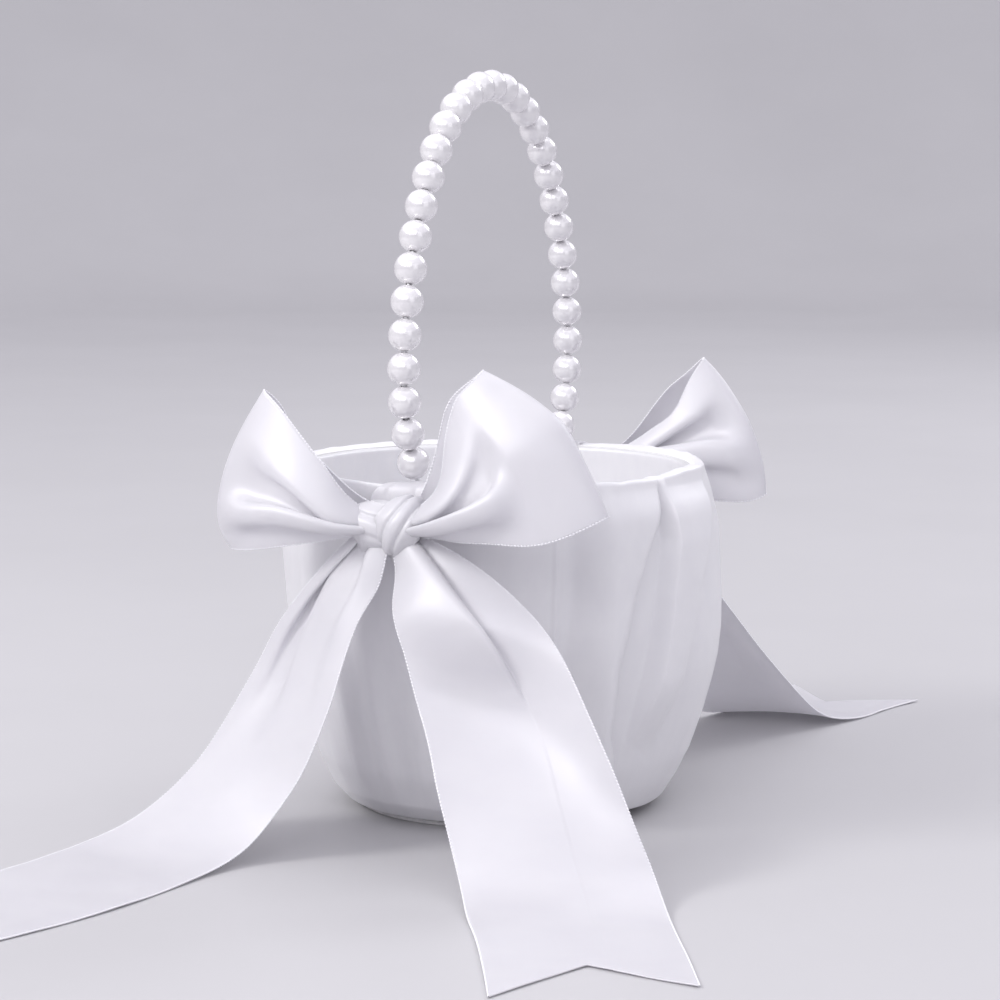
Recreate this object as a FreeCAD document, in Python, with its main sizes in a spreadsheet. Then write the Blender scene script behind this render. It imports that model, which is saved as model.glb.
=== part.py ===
import FreeCAD, Part
import math
import os
import Sketcher

# A flower girl basket: a moulded cup dressed in satin, a bail handle of pearl
# beads strung on a steel wire, and a large ribbon bow at each foot of the
# handle.  Millimetres, +Z up.  The origin is the centre of the underside, on
# the surface the basket stands on.  The handle arches over the basket in the
# YZ plane; the front bow is on -Y and the back bow on +Y.

Vector = FreeCAD.Vector
Rotation = FreeCAD.Rotation
Placement = FreeCAD.Placement

X_AXIS = Vector(1, 0, 0)
Y_AXIS = Vector(0, 1, 0)
Z_AXIS = Vector(0, 0, 1)
FRONT = -1
BACK = 1
SIDE_NAMES = {FRONT: "front", BACK: "back"}

doc = FreeCAD.newDocument("FlowerGirlBasket")
sheet = doc.addObject("Spreadsheet::Sheet", "Dimensions")

# Driving dimensions, in millimetres and degrees.
DIMENSIONS = [
    # outline of the dressed wall: radius and height from the floor upwards
    ("foot_radius", 47.0), ("turn_radius", 51.9), ("turn_height", 7.0),
    ("belly_radius", 55.9), ("belly_height", 17.0),
    ("shoulder_radius", 65.6), ("shoulder_height", 65.0),
    ("neck_radius", 67.0), ("neck_height", 83.0), ("rim_height", 110.4),
    # how far inside that outline each layer of the wall begins and ends
    ("cover_back", 1.0), ("cup_front", 1.05), ("cup_back", 3.0),
    ("hem_front", 3.05), ("hem_back", 3.6),
    ("lining_front", 3.65), ("lining_back", 4.45),
    # heights of the layers of the floor and of the rim
    ("base_height", 1.5), ("base_radius", 44.0), ("base_round", 0.5),
    ("cover_low", 1.55), ("cover_high", 2.45), ("cover_mouth", 34.0),
    ("cup_low", 2.5), ("cup_high", 4.5), ("cup_top", 109.35), ("fold_low", 109.4),
    ("hem_low", 92.0), ("lining_low", 4.55), ("lining_high", 5.35), ("lining_top", 108.4),
    ("pad_low", 5.4), ("pad_thickness", 3.0), ("pad_radius", 42.0), ("pad_round", 1.2),
    # pivot of the handle: wire, eyelets and end caps
    ("pivot_height", 99.5), ("wire_radius", 0.7), ("leg_radius", 4.0), ("elbow_radius", 3.4),
    ("wire_end", 70.6), ("eyelet_bore", 0.78), ("eyelet_barrel", 1.8), ("eyelet_flange", 2.6),
    ("eyelet_start", 62.6), ("eyelet_seat", 67.5), ("eyelet_end", 68.0), ("wall_hole", 1.9),
    ("cap_bore", 0.72), ("cap_radius", 1.6), ("cap_start", 68.4), ("cap_floor", 70.65),
    ("cap_end", 71.3),
    # arch of the handle: three tangent arcs from the crown down to the foot
    ("crown_height", 230.2), ("crown_radius", 58.0), ("crown_turn", 51.5),
    ("upper_radius", 108.0), ("upper_turn", 36.0), ("lower_radius", 57.0),
    ("pearl_radius", 5.0), ("pearl_bore", 1.0), ("pearl_pitch", 10.05),
    ("pearls_per_leg", 15.0), ("foot_run", 5.3),
    # satin ribbon and the band of it that saddles the rim
    ("ribbon_width", 54.0), ("ribbon_thickness", 1.2), ("gather_thickness", 9.0),
    ("notch_depth", 22.0), ("notch_cut", 12.0),
    ("saddle_inside", 62.15), ("saddle_lining", 62.5), ("saddle_low", 93.0),
    ("saddle_wall", 67.05), ("saddle_outside", 67.4), ("saddle_rim", 110.45),
    ("saddle_top", 110.75), ("saddle_back", 102.5), ("saddle_angle", 35.0),
    # knot of each bow
    ("knot_reach", 75.2), ("knot_across", 12.5), ("knot_deep", 8.0), ("knot_tall", 7.8),
    ("knot_pocket", 3.2), ("pocket_floor", 72.2),
]
for row, (alias, number) in enumerate(DIMENSIONS, start=1):
    sheet.set("A%d" % row, alias)
    sheet.set("B%d" % row, str(number))
    sheet.setAlias("B%d" % row, alias)
doc.recompute()


def size(formula):
    """Number of a sum of sheet aliases, such as "neck_radius - cup_front"."""
    total = 0.0
    sign = 1.0
    for word in formula.split():
        if word in ("+", "-"):
            sign = 1.0 if word == "+" else -1.0
        elif word != "0":
            total += sign * float(sheet.get(word))
    return total


def bound(formula):
    """The same sum as an expression that reads the sheet's cells."""
    signs = ("+", "-", "0")
    return " ".join(word if word in signs else "Dimensions." + word for word in formula.split())


def new_body(label):
    body = doc.addObject("PartDesign::Body", "Body_" + label)
    body.Label = label
    return body


def sketch_on(body, plane_role, name):
    """New sketch on one of the body's own origin planes."""
    plane = [f for f in body.Origin.OriginFeatures if f.Role == plane_role][0]
    sketch = body.newObject("Sketcher::SketchObject", name)
    sketch.AttachmentSupport = [(plane, "")]
    sketch.MapMode = "FlatFace"
    return sketch


def place_vertex(sketch, geometry, point, direction, axis, formula):
    """Hold one coordinate of a point: on the other axis, or at a bound distance."""
    if formula == "0":
        sketch.addConstraint(Sketcher.Constraint("PointOnObject", geometry, point, axis))
        return
    made = sketch.addConstraint(
        Sketcher.Constraint(direction, -1, 1, geometry, point, size(formula)))
    sketch.setExpression("Constraints[%d]" % made, bound(formula))


def draw_polygon(sketch, corners):
    """Closed outline through corners, each a pair of formulas (across, up)."""
    spots = [Vector(size(across), size(up), 0) for across, up in corners]
    for here, spot in enumerate(spots):
        sketch.addGeometry(Part.LineSegment(spot, spots[(here + 1) % len(spots)]))
    for here in range(len(spots)):
        following = (here + 1) % len(spots)
        sketch.addConstraint(Sketcher.Constraint("Coincident", here, 2, following, 1))
    for here, (across, up) in enumerate(corners):
        place_vertex(sketch, here, 1, "DistanceX", -2, across)
        place_vertex(sketch, here, 1, "DistanceY", -1, up)


def draw_circle(sketch, radius, across="0", up="0"):
    """Circle of a bound radius round a bound centre."""
    centre = Vector(size(across), size(up), 0)
    sketch.addGeometry(Part.Circle(centre, Z_AXIS, size(radius)))
    made = sketch.addConstraint(Sketcher.Constraint("Radius", 0, size(radius)))
    sketch.setExpression("Constraints[%d]" % made, bound(radius))
    place_vertex(sketch, 0, 3, "DistanceX", -2, across)
    place_vertex(sketch, 0, 3, "DistanceY", -1, up)


def turned_body(label, plane_role, corners):
    """Body made by turning an outline once round the sketch's vertical axis."""
    body = new_body(label)
    sketch = sketch_on(body, plane_role, "Profile_" + label)
    draw_polygon(sketch, corners)
    turn = body.newObject("PartDesign::Revolution", "Turn_" + label)
    turn.Profile = sketch
    turn.ReferenceAxis = (sketch, ["V_Axis"])
    turn.Angle = 360
    return body


def disc_body(label, radius, thickness, rounding, height):
    """Flat disc with softened edges, lying at a bound height."""
    body = new_body(label)
    sketch = sketch_on(body, "XY_Plane", "Profile_" + label)
    draw_circle(sketch, radius)
    pad = body.newObject("PartDesign::Pad", "Pad_" + label)
    pad.Profile = sketch
    pad.setExpression("Length", bound(thickness))
    doc.recompute()
    soften = body.newObject("PartDesign::Fillet", "Fillet_" + label)
    rims = ["Edge%d" % (k + 1) for k, edge in enumerate(pad.Shape.Edges)
            if isinstance(edge.Curve, Part.Circle)]
    soften.Base = (pad, rims)
    soften.setExpression("Radius", bound(rounding))
    if height != "0":
        body.setExpression("Placement.Base.z", bound(height))
    return body


def pierce(body, label):
    """Round hole for the eyelets, right through the wall front and back."""
    doc.recompute()
    before = body.Shape.Volume
    sketch = sketch_on(body, "XZ_Plane", "Hole_" + label)
    draw_circle(sketch, "wall_hole", "0", "pivot_height")
    pocket = body.newObject("PartDesign::Pocket", "Pierce_" + label)
    pocket.Profile = sketch
    pocket.Type = "ThroughAll"
    pocket.SideType = "Symmetric"
    doc.recompute()
    if not body.Shape.Volume < before:
        raise RuntimeError("the hole through %s cut nothing" % label)


# ---------------------------------------------------------------- the basket

WALL = [("turn_radius", "turn_height"), ("belly_radius", "belly_height"),
        ("shoulder_radius", "shoulder_height"), ("neck_radius", "neck_height")]


def wall_points(layer):
    """Corners of the wall, from the floor up, moved inwards to a layer."""
    if layer == "0":
        return list(WALL)
    return [(radius + " - " + layer, height) for radius, height in WALL]


def make_base_disc():
    return disc_body("base_disc", "base_radius", "base_height", "base_round", "0")


def make_floor_pad():
    return disc_body("floor_pad", "pad_radius", "pad_thickness", "pad_round", "pad_low")


def make_cup_shell():
    outside = [("0", "cup_low"), ("foot_radius - cup_front", "cup_low")]
    outside += wall_points("cup_front")
    top = [("neck_radius - cup_front", "cup_top"), ("neck_radius - cup_back", "cup_top")]
    inside = wall_points("cup_back")[::-1]
    inside += [("foot_radius - cup_back", "cup_high"), ("0", "cup_high")]
    body = turned_body("cup_shell", "XZ_Plane", outside + top + inside)
    pierce(body, "cup_shell")
    return body


def make_satin_cover():
    """Outer skin: turned under the cup, up the wall, over the rim, hemmed inside."""
    outside = [("cover_mouth", "cover_low"), ("foot_radius", "cover_low")]
    outside += wall_points("0")
    rim = [("neck_radius", "rim_height"), ("neck_radius - hem_back", "rim_height"),
           ("neck_radius - hem_back", "hem_low"), ("neck_radius - hem_front", "hem_low"),
           ("neck_radius - hem_front", "fold_low"), ("neck_radius - cover_back", "fold_low")]
    inside = wall_points("cover_back")[::-1]
    inside += [("foot_radius - cover_back", "cover_high"), ("cover_mouth", "cover_high")]
    body = turned_body("satin_cover", "XZ_Plane", outside + rim + inside)
    pierce(body, "satin_cover")
    return body


def make_satin_lining():
    outside = [("0", "lining_low"), ("foot_radius - lining_front", "lining_low")]
    outside += wall_points("lining_front")
    top = [("neck_radius - lining_front", "lining_top"),
           ("neck_radius - lining_back", "lining_top")]
    inside = wall_points("lining_back")[::-1]
    inside += [("foot_radius - lining_back", "lining_high"), ("0", "lining_high")]
    body = turned_body("satin_lining", "XZ_Plane", outside + top + inside)
    pierce(body, "satin_lining")
    return body


# ------------------------------------------------------- pivots of the handle

def side_placement(side, height="0"):
    """Pieces of both pivots are drawn on +Y; the front ones turn half a circle."""
    spin = 180.0 if side == FRONT else 0.0
    return Placement(Vector(0, 0, size(height)), Rotation(Z_AXIS, spin))


def pivot_piece(label, side, corners):
    """Small turned piece on the pivot's axis; corners are (radius, distance out)."""
    body = turned_body(label, "XY_Plane", corners)
    body.Placement = side_placement(side, "pivot_height")
    body.setExpression("Placement.Base.z", bound("pivot_height"))
    return body


def make_eyelet(side):
    corners = [("eyelet_bore", "eyelet_start"), ("eyelet_barrel", "eyelet_start"),
               ("eyelet_barrel", "eyelet_seat"), ("eyelet_flange", "eyelet_seat"),
               ("eyelet_flange", "eyelet_end"), ("eyelet_bore", "eyelet_end")]
    return pivot_piece("eyelet_" + SIDE_NAMES[side], side, corners)


def make_end_cap(side):
    corners = [("cap_bore", "cap_start"), ("cap_radius", "cap_start"),
               ("cap_radius", "cap_end"), ("0", "cap_end"),
               ("0", "cap_floor"), ("cap_bore", "cap_floor")]
    return pivot_piece("end_cap_" + SIDE_NAMES[side], side, corners)


# ---------------------------------------------------------------- the handle

class Walk:
    """Path of straight runs and tangent arcs in the YZ plane, seen from +X.

    heading is the angle of travel from +Y, positive downwards; length is the
    distance travelled.
    """

    def __init__(self, start_y, start_z, heading):
        self.spot = Vector(0, start_y, start_z)
        self.heading = heading
        self.length = 0.0
        self.edges = []
        self.stretches = []

    def direction(self, heading):
        return Vector(0, math.cos(heading), -math.sin(heading))

    def side(self, heading):
        """Unit vector to the inside of a bend whose heading grows."""
        return Vector(0, -math.sin(heading), -math.cos(heading))

    def point(self, radius, turn):
        """Where an arc of this radius ends after a turn; negative bends back."""
        hand = 1.0 if turn > 0 else -1.0
        centre = self.spot + self.side(self.heading) * (radius * hand)
        return centre - self.side(self.heading + turn) * (radius * hand)

    def bend(self, radius, turn):
        middle = self.point(radius, turn / 2)
        end = self.point(radius, turn)
        self.stretches.append((self.length, self.spot, self.heading, radius, turn))
        self.edges.append(Part.Arc(self.spot, middle, end).toShape())
        self.length += radius * abs(turn)
        self.spot = end
        self.heading += turn

    def run(self, distance):
        end = self.spot + self.direction(self.heading) * distance
        self.edges.append(Part.LineSegment(self.spot, end).toShape())
        self.length += distance
        self.spot = end

    def at(self, travelled):
        """Point and heading at a distance along the arcs travelled so far."""
        for begin, spot, heading, radius, turn in self.stretches:
            if travelled <= begin + radius * abs(turn) + 1e-6:
                part = Walk(spot.y, spot.z, heading)
                share = (travelled - begin) / radius
                return part.point(radius, share) if share > 0 else spot, heading + share
        raise ValueError("beyond the arcs")


def handle_path():
    """Half of the handle's wire, from the crown down and out through the wall."""
    path = Walk(0.0, size("crown_height"), 0.0)
    path.bend(size("crown_radius"), math.radians(size("crown_turn")))
    path.bend(size("upper_radius"), math.radians(size("upper_turn")))
    to_foot = size("pearls_per_leg") * size("pearl_pitch") - path.length
    path.bend(size("lower_radius"), to_foot / size("lower_radius"))
    path.run(size("foot_run"))
    upright = math.radians(90)
    path.bend(size("leg_radius"), upright - path.heading)
    path.run(path.spot.z - size("pivot_height") - size("elbow_radius"))
    path.bend(size("elbow_radius"), -upright)
    path.run(size("wire_end") - path.spot.y)
    return path


def make_handle_wire(path):
    half = Part.Wire(path.edges)
    other = half.mirror(Vector(0, 0, 0), Y_AXIS)
    spine = doc.addObject("Part::Feature", "WirePath")
    spine.Shape = Part.Wire(Part.__sortEdges__(half.Edges + other.Edges))
    circle = doc.addObject("Part::Circle", "WireSection")
    circle.setExpression("Radius", bound("wire_radius"))
    circle.Placement = Placement(Vector(0, -size("wire_end"), size("pivot_height")),
                                 Rotation(Z_AXIS, Y_AXIS))
    wire = doc.addObject("Part::Sweep", "HandleWire")
    wire.Sections = [circle]
    wire.Spine = (spine, [])
    wire.Solid = True
    wire.Label = "handle_wire"
    return wire


def make_pearl(number, centre, bore_direction):
    label = "pearl_%02d" % number
    ball = doc.addObject("Part::Sphere", "Ball_" + label)
    ball.setExpression("Radius", bound("pearl_radius"))
    drill = doc.addObject("Part::Cylinder", "Drill_" + label)
    drill.setExpression("Radius", bound("pearl_bore"))
    drill.setExpression("Height", "4 * Dimensions.pearl_radius")
    drill.setExpression("Placement.Base.z", "-2 * Dimensions.pearl_radius")
    pearl = doc.addObject("Part::Cut", "Pearl_%02d" % number)
    pearl.Base = ball
    pearl.Tool = drill
    pearl.Label = label
    pearl.Placement = Placement(centre, Rotation(Z_AXIS, bore_direction))
    return pearl


def make_pearls(path):
    """Pearls from the front foot, over the crown, to the back foot."""
    per_leg = int(size("pearls_per_leg"))
    pearls = []
    for step in range(-per_leg, per_leg + 1):
        spot, heading = path.at(abs(step) * size("pearl_pitch"))
        hand = FRONT if step < 0 else BACK
        centre = Vector(0, hand * spot.y, spot.z)
        along = Vector(0, hand * math.cos(heading), -math.sin(heading))
        pearls.append(make_pearl(step + per_leg + 1, centre, along))
    return pearls


# ------------------------------------------------------------------ the bows

def make_saddle(side):
    """Band of ribbon that lies over the rim, round the foot of the handle."""
    label = SIDE_NAMES[side] + "_saddle"
    body = new_body(label)
    sketch = sketch_on(body, "XZ_Plane", "Profile_" + label)
    draw_polygon(sketch, [
        ("saddle_wall", "saddle_low"), ("saddle_outside", "saddle_low"),
        ("saddle_outside", "saddle_top"), ("saddle_inside", "saddle_top"),
        ("saddle_inside", "saddle_back"), ("saddle_lining", "saddle_back"),
        ("saddle_lining", "saddle_rim"), ("saddle_wall", "saddle_rim")])
    turn = body.newObject("PartDesign::Revolution", "Turn_" + label)
    turn.Profile = sketch
    turn.ReferenceAxis = (sketch, ["V_Axis"])
    turn.Midplane = True
    turn.setExpression("Angle", bound("saddle_angle"))
    doc.recompute()
    before = body.Shape.Volume
    hole = sketch_on(body, "YZ_Plane", "Hole_" + label)
    draw_circle(hole, "wall_hole", "0", "pivot_height")
    pocket = body.newObject("PartDesign::Pocket", "Pierce_" + label)
    pocket.Profile = hole
    pocket.Type = "ThroughAll"
    pocket.SideType = "Symmetric"
    doc.recompute()
    if not body.Shape.Volume < before:
        raise RuntimeError("the hole through %s cut nothing" % label)
    body.Placement = Placement(Vector(0, 0, 0), Rotation(Z_AXIS, 90.0 * side))
    return body


def make_knot(side):
    """Rounded knot with a pocket in its back that clears the wire's end cap."""
    label = SIDE_NAMES[side] + "_knot"
    lump = doc.addObject("Part::Ellipsoid", "Lump_" + label)
    lump.setExpression("Radius1", bound("knot_tall"))
    lump.setExpression("Radius2", bound("knot_across"))
    lump.setExpression("Radius3", bound("knot_deep"))
    lump.setExpression("Placement.Base.y", bound("knot_reach"))
    pocket = doc.addObject("Part::Cylinder", "Pocket_" + label)
    pocket.setExpression("Radius", bound("knot_pocket"))
    pocket.setExpression("Height", bound("pocket_floor"))
    pocket.Placement = Placement(Vector(0, 0, 0), Rotation(Z_AXIS, Y_AXIS))
    knot = doc.addObject("Part::Cut", "Knot_" + label)
    knot.Base = lump
    knot.Tool = pocket
    knot.Label = label
    knot.Placement = side_placement(side)
    knot.setExpression("Placement.Base.z", bound("pivot_height"))
    return knot


# Each loop of a bow is a flattened tube of ribbon.  A section is its centre
# (x, y, z), half height, half depth, and how far its top leans towards +X in
# degrees.
LOOPS = {
    "front_loop_left": [
        ((-12.7, -76, 99.5), 6.0, 4.5, 0), ((-30, -80, 107), 15.0, 8.0, 7),
        ((-46, -80, 113), 24.5, 6.0, 12), ((-54.5, -80, 106), 13.0, 1.2, 12)],
    "front_loop_right": [
        ((12.7, -76, 100), 6.0, 4.5, 0), ((20, -80, 115), 20.0, 8.0, -6),
        ((37, -81, 120.5), 24.0, 9.0, -14), ((61, -82, 117), 15.5, 1.2, -24)],
    "back_loop_right": [
        ((12.7, 76, 99.5), 6.0, 4.5, 0), ((30, 80, 106), 15.0, 8.0, -8),
        ((54, 81, 113.5), 25.0, 6.0, -20), ((66, 81, 101), 12.0, 1.2, -20)],
    "back_loop_left": [
        ((-12.7, 76, 99.5), 6.0, 4.5, 0), ((-27, 80, 104), 14.0, 8.0, 7),
        ((-40, 81, 107), 19.5, 6.0, 14), ((-47.5, 81, 101), 10.0, 1.2, 14)],
}


def make_loop(label, sections):
    rings = []
    for count, (centre, half_height, half_depth, lean) in enumerate(sections):
        ring = doc.addObject("Part::Ellipse", "Ring%d_%s" % (count, label))
        ring.MajorRadius = half_height
        ring.MinorRadius = half_depth
        upright = Rotation(Z_AXIS, Y_AXIS, X_AXIS, "ZXY")
        ring.Placement = Placement(Vector(*centre), Rotation(Y_AXIS, lean).multiply(upright))
        rings.append(ring)
    loop = doc.addObject("Part::Loft", "Loop_" + label)
    loop.Sections = rings
    loop.Solid = True
    loop.Ruled = True
    loop.Label = label
    return loop


# Each tail is one width of ribbon from the knot to its swallow-tail end.  A
# station is its centre (x, y, z), the plan angle and the upward tilt of the
# line across the ribbon in degrees, and how much of the ribbon's width is
# open there; the rest is still in the pleats that run out of the knot.
TAILS = {
    "front_tail_right": [
        ((7, -79, 90), 0, 0, 0.24), ((16, -86, 74), 8, 16, 0.55), ((29, -93, 56), 12, 24, 0.82),
        ((45, -101, 36), 14, 22, 0.96), ((59, -108, 16), 18, 12, 1), ((68, -116, 3), 24, 0, 1),
        ((77, -133, 0.6), 29, 0, 1), ((103, -184, 0.6), 36, 0, 1)],
    "front_tail_left": [
        ((-7, -79, 90), 0, 0, 0.24), ((-15, -85, 74), -12, -8, 0.5),
        ((-24, -92, 54), -20, -12, 0.55), ((-37, -98, 32), -24, -10, 0.65),
        ((-50, -103, 13), -22, -4, 0.8), ((-58, -112, 2.5), -16, 0, 0.95),
        ((-63, -128, 0.6), -12, 0, 1), ((-72, -160, 0.6), -18, 0, 1),
        ((-93, -217, 0.6), -20, 0, 1)],
    "back_tail_right": [
        ((7, 79, 90), 0, 0, 0.24), ((18, 88, 72), 6, 0, 0.6), ((27, 99, 52), 10, 0, 0.9),
        ((36, 113, 30), 10, 0, 1), ((44, 128, 12), 8, 0, 1), ((51, 144, 2), 0, 0, 1),
        ((57, 160, 0.6), -10, 0, 1), ((68, 208, 0.6), -18, 0, 1)],
    "back_tail_left": [
        ((-7, 79, 90), 0, 0, 0.24), ((-18, 88, 72), -6, 0, 0.6), ((-27, 99, 52), -10, 0, 0.9),
        ((-33, 112, 30), -10, 0, 1), ((-39, 126, 12), -8, 0, 1), ((-43, 141, 2), 0, 0, 1),
        ((-47, 156, 0.6), 8, 0, 1), ((-54, 192, 0.6), 14, 0, 1)],
}


def across_ribbon(plan_angle, tilt):
    """Unit vector along the line across the ribbon."""
    plan = math.radians(plan_angle)
    rise = math.radians(tilt)
    return Vector(math.cos(plan) * math.cos(rise), math.sin(plan) * math.cos(rise),
                  math.sin(rise))


def station_frame(stations, here):
    """Rotation whose x runs across the ribbon and whose z runs along it."""
    before = Vector(*stations[max(here - 1, 0)][0])
    after = Vector(*stations[min(here + 1, len(stations) - 1)][0])
    across = across_ribbon(*stations[here][1:3])
    along = (after - before).normalize()
    return Rotation(across, along.cross(across), along, "XZY")


def station_thickness(open_share):
    """Pleats stack up in the knot and thin out as the ribbon opens."""
    flat = size("ribbon_thickness")
    return flat + (size("gather_thickness") - flat) * max(0.0, 1.0 - open_share) ** 2


def make_tail(label, stations):
    sections = []
    for here, (centre, _, _, open_share) in enumerate(stations):
        section = doc.addObject("Part::Plane", "Station%d_%s" % (here, label))
        frame = station_frame(stations, here)
        section.setExpression("Length", "%g * Dimensions.ribbon_width" % open_share)
        thickness = station_thickness(open_share)
        section.Width = thickness
        corner = Vector(-open_share * size("ribbon_width") / 2, -thickness / 2, 0)
        section.Placement = Placement(Vector(*centre) + frame.multVec(corner), frame)
        sections.append(section)
    strip = doc.addObject("Part::Loft", "Strip_" + label)
    strip.Sections = sections
    strip.Solid = True
    strip.Ruled = True
    tail = doc.addObject("Part::Cut", "Tail_" + label)
    tail.Base = strip
    tail.Tool = notch_cutter(label, stations)
    tail.Label = label
    return tail


def notch_cutter(label, stations):
    """Three-sided prism that cuts the swallow tail into the ribbon's end."""
    end = Vector(*stations[-1][0])
    frame = station_frame(stations, len(stations) - 1)
    cutter = doc.addObject("Part::Wedge", "Notch_" + label)
    cutter.Xmin = 0
    cutter.setExpression("Xmax", "Dimensions.ribbon_width")
    cutter.setExpression("X2min", "Dimensions.ribbon_width / 2")
    cutter.setExpression("X2max", "Dimensions.ribbon_width / 2")
    cutter.Ymin = 0
    cutter.setExpression("Ymax", bound("notch_depth"))
    cutter.Zmin = 0
    cutter.Z2min = 0
    cutter.setExpression("Zmax", bound("notch_cut"))
    cutter.setExpression("Z2max", bound("notch_cut"))
    across = frame.multVec(X_AXIS)
    inwards = frame.multVec(Z_AXIS) * -1
    turned = Rotation(across, inwards, across.cross(inwards), "XYZ")
    corner = Vector(-size("ribbon_width") / 2, 0, -size("notch_cut") / 2)
    cutter.Placement = Placement(end + turned.multVec(corner), turned)
    return cutter


# ----------------------------------------------------------- build and write

nodes = [make_base_disc(), make_cup_shell(), make_satin_cover(), make_satin_lining(),
         make_floor_pad()]
wire_path = handle_path()
nodes.append(make_handle_wire(wire_path))
nodes += make_pearls(wire_path)
for bow_side in (FRONT, BACK):
    nodes += [make_eyelet(bow_side), make_end_cap(bow_side)]
    nodes += [make_saddle(bow_side), make_knot(bow_side)]
nodes += [make_loop(label, sections) for label, sections in LOOPS.items()]
nodes += [make_tail(label, stations) for label, stations in TAILS.items()]
doc.recompute()

for item in doc.Objects:
    if "Invalid" in item.State or "Error" in item.State:
        raise RuntimeError("%s did not recompute: %s" % (item.Label, item.State))
for node in nodes:
    if node.Shape.isNull() or not node.Shape.isValid() or not node.Shape.Solids:
        raise RuntimeError("%s has no valid solid" % node.Label)

os.makedirs("parts", exist_ok=True)
for node in nodes:
    node.Shape.exportStep("parts/%s.step" % node.Label)
print("%d nodes written" % len(nodes))
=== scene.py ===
import math

import bpy
import numpy as np
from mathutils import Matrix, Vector, noise


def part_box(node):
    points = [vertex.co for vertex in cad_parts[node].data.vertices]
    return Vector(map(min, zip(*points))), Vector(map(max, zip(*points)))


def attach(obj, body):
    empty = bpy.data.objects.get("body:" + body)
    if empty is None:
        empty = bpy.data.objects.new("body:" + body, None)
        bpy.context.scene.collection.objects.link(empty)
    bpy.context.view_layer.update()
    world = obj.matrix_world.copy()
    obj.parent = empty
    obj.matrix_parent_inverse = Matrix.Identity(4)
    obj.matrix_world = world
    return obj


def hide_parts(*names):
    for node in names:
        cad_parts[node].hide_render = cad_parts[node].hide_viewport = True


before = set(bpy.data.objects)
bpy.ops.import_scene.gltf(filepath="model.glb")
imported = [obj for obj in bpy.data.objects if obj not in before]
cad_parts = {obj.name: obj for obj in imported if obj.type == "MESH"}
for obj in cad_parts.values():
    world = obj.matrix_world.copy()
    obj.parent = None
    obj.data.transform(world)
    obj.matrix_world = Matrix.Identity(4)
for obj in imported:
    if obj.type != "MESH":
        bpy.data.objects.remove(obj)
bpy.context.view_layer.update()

MM = 0.001                 # everything below is written in millimetres
RIBBON = 54.0              # width of the satin ribbon laid flat
CLOTH = 0.35               # thickness of the satin
BEAD_RADIUS = 5.0          # pearl
BEAD_BORE = 0.85           # radius of the pearl's drilled hole
HEM_RADIUS = 63.6          # where the cover's hem hangs inside the rim
SEAM_ANGLE = -50           # plan angle of the cover's seam, in degrees


# ---------------------------------------------------------------- materials

def node(tree, kind, **values):
    """New shader node with its inputs set by name."""
    made = tree.nodes.new(kind)
    for name, value in values.items():
        made.inputs[name.replace("_", " ")].default_value = value
    return made


def blank_material(name):
    material = bpy.data.materials.new(name)
    material.use_nodes = True
    tree = material.node_tree
    tree.nodes.clear()
    output = tree.nodes.new("ShaderNodeOutputMaterial")
    shader = tree.nodes.new("ShaderNodeBsdfPrincipled")
    tree.links.new(shader.outputs["BSDF"], output.inputs["Surface"])
    return material, tree, shader, output


def stretched_noise(tree, vector, scales, detail=3.0, roughness=0.5):
    """Noise drawn out along one direction of the coordinates."""
    mapping = tree.nodes.new("ShaderNodeMapping")
    mapping.inputs["Scale"].default_value = scales
    tree.links.new(vector, mapping.inputs["Vector"])
    grain = node(tree, "ShaderNodeTexNoise", Scale=1.0, Detail=detail, Roughness=roughness)
    tree.links.new(mapping.outputs["Vector"], grain.inputs["Vector"])
    return grain.outputs["Fac"]


def satin(name, light, shade, threads, slubs, roughness=0.42, through=0.12):
    """Polyester satin: long fine threads, a soft sheen and a little light through it."""
    material, tree, shader, output = blank_material(name)
    link = tree.links.new
    place = tree.nodes.new("ShaderNodeTexCoord")
    vector = place.outputs["UV"]
    thread = stretched_noise(tree, vector, threads, 2.0, 0.6)
    slub = stretched_noise(tree, vector, slubs, 4.0, 0.55)
    ramp = tree.nodes.new("ShaderNodeValToRGB")
    ramp.color_ramp.elements[0].position = 0.3
    ramp.color_ramp.elements[0].color = shade
    ramp.color_ramp.elements[1].position = 0.7
    ramp.color_ramp.elements[1].color = light
    link(slub, ramp.inputs["Fac"])
    link(ramp.outputs["Color"], shader.inputs["Base Color"])
    rough = node(tree, "ShaderNodeMapRange")
    rough.inputs["To Min"].default_value = roughness - 0.05
    rough.inputs["To Max"].default_value = roughness + 0.07
    link(thread, rough.inputs["Value"])
    link(rough.outputs["Result"], shader.inputs["Roughness"])
    fine = node(tree, "ShaderNodeBump", Strength=0.16, Distance=0.00010)
    link(thread, fine.inputs["Height"])
    broad = node(tree, "ShaderNodeBump", Strength=0.2, Distance=0.00025)
    link(slub, broad.inputs["Height"])
    link(fine.outputs["Normal"], broad.inputs["Normal"])
    link(broad.outputs["Normal"], shader.inputs["Normal"])
    shader.inputs["Metallic"].default_value = 0.12
    shader.inputs["Sheen Weight"].default_value = 0.3
    shader.inputs["Sheen Roughness"].default_value = 0.35
    shader.inputs["Specular IOR Level"].default_value = 0.62
    shader.inputs["Anisotropic"].default_value = 0.45
    glow = node(tree, "ShaderNodeBsdfTranslucent", Color=light)
    mix = node(tree, "ShaderNodeMixShader", Fac=through)
    link(shader.outputs["BSDF"], mix.inputs[1])
    link(glow.outputs["BSDF"], mix.inputs[2])
    link(mix.outputs["Shader"], output.inputs["Surface"])
    return material


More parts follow.
